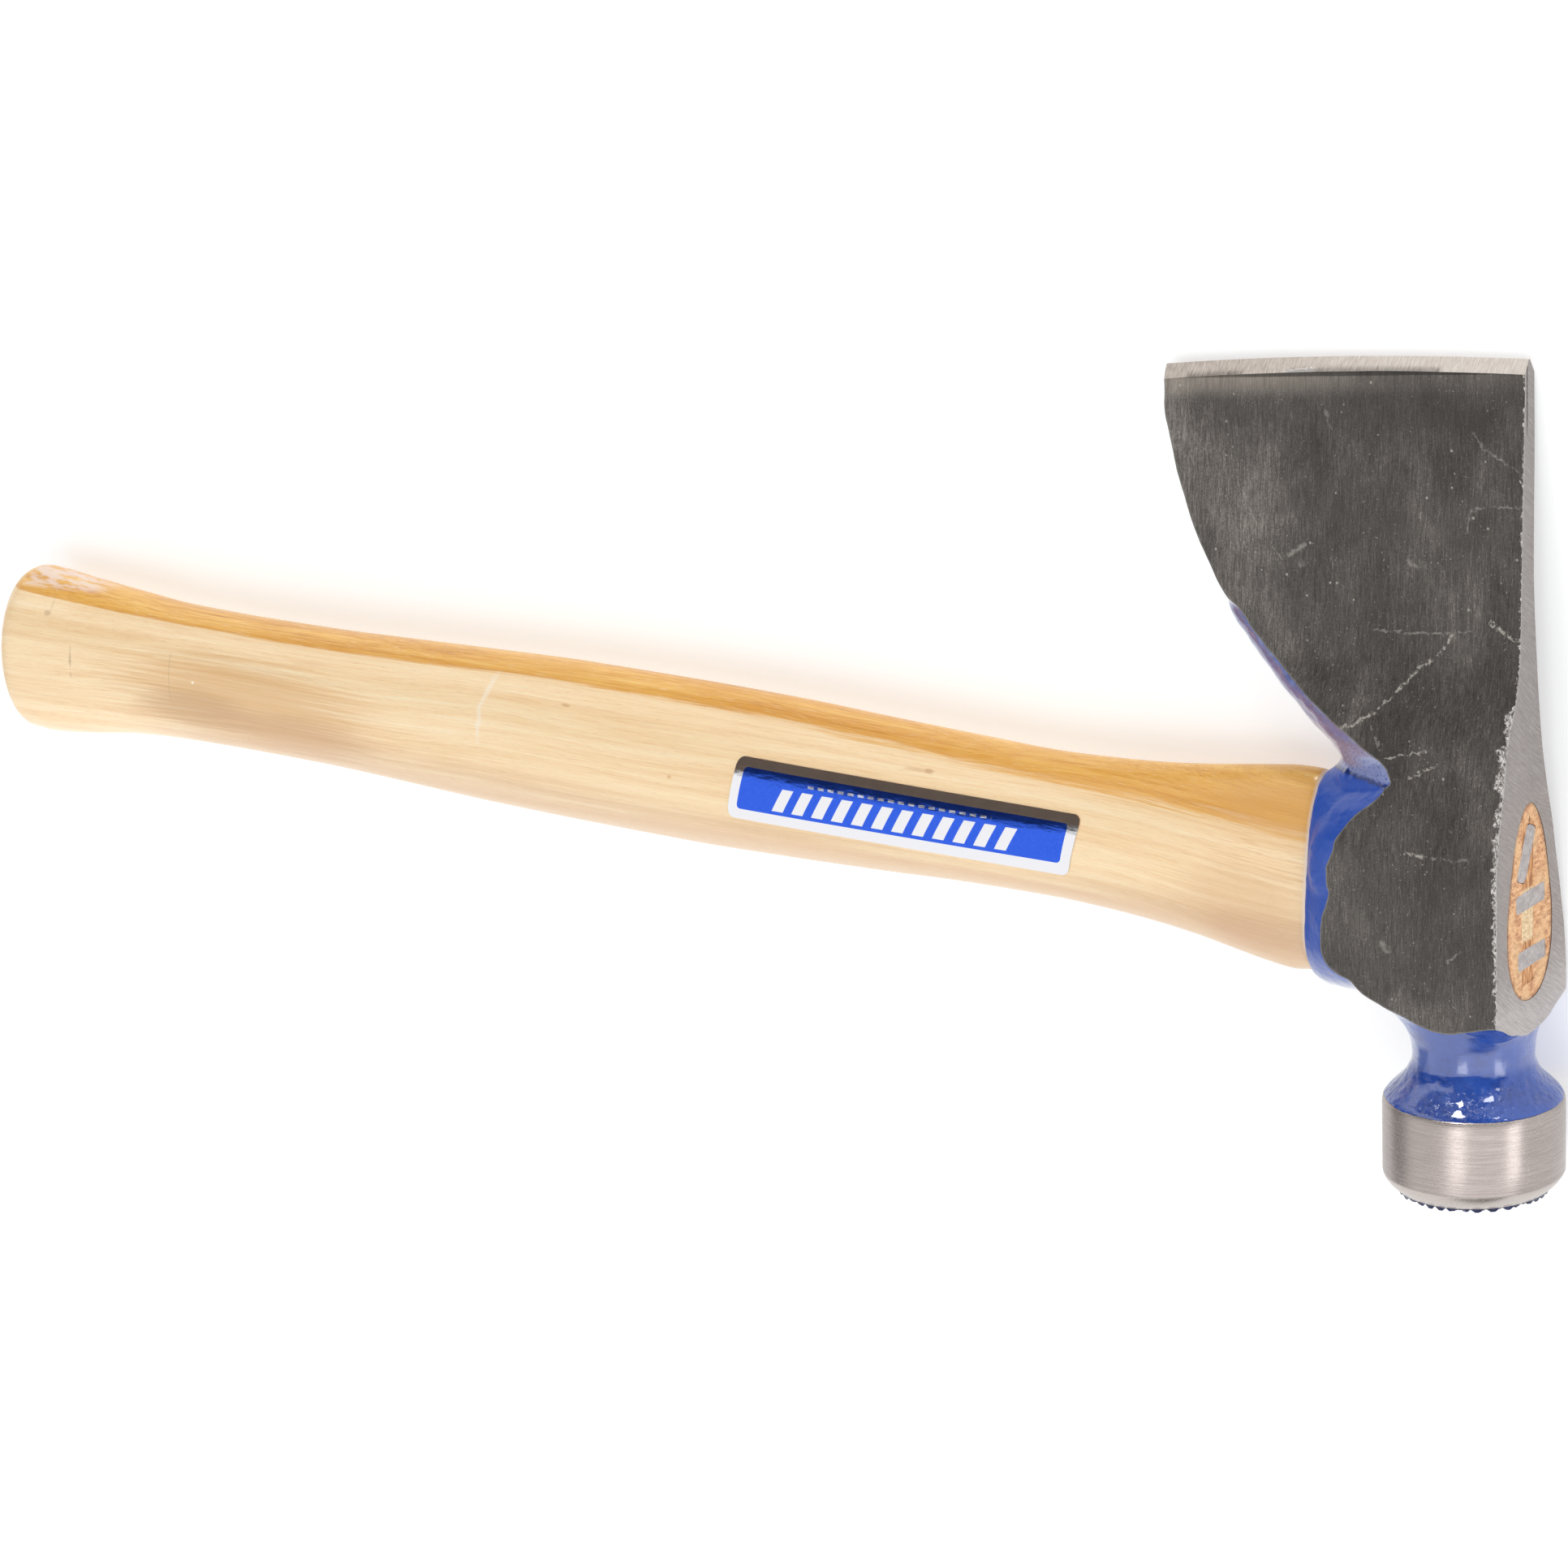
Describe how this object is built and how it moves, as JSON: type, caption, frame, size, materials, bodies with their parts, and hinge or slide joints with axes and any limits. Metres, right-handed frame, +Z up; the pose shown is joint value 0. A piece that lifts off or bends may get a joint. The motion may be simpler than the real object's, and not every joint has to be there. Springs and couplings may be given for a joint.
{
  "type": "hammer-hatchet",
  "caption": "One-handed hammer-hatchet lying on its side: forged steel head with a broad sharpened blade and a round milled poll, on a straight hardwood handle held by wedges.",
  "frame": {"origin": "on the surface it lies on, under the middle of its bounding box", "axes": "+X along the handle from the butt to the head, +Y across the head from the poll to the cutting edge, +Z up from the surface it lies on, nearly square to the blade's cheeks"},
  "size_m": [0.437, 0.1824, 0.0404],
  "materials": {
    "head_steel": "ground steel, dark scale on the cheeks, bright brushed bevel, end face and poll",
    "head_paint": "thick glossy blue brushed on the collar, the beard and the neck",
    "handle_wood": "clear lacquered pale hickory with a honey coloured strip along the top",
    "wedge_wood": "pale end grain, unfinished",
    "wedge_steel": "rough cut mild steel",
    "handle_label": "glossy printed film"
  },
  "bodies": {
    "root": {"head": "head_steel", "handle": "handle_wood", "wood_wedge": "wedge_wood", "steel_wedge_upper": "wedge_steel", "steel_wedge_middle": "wedge_steel", "steel_wedge_lower": "wedge_steel", "handle_label": "handle_label"}
  },
  "joints": []
}
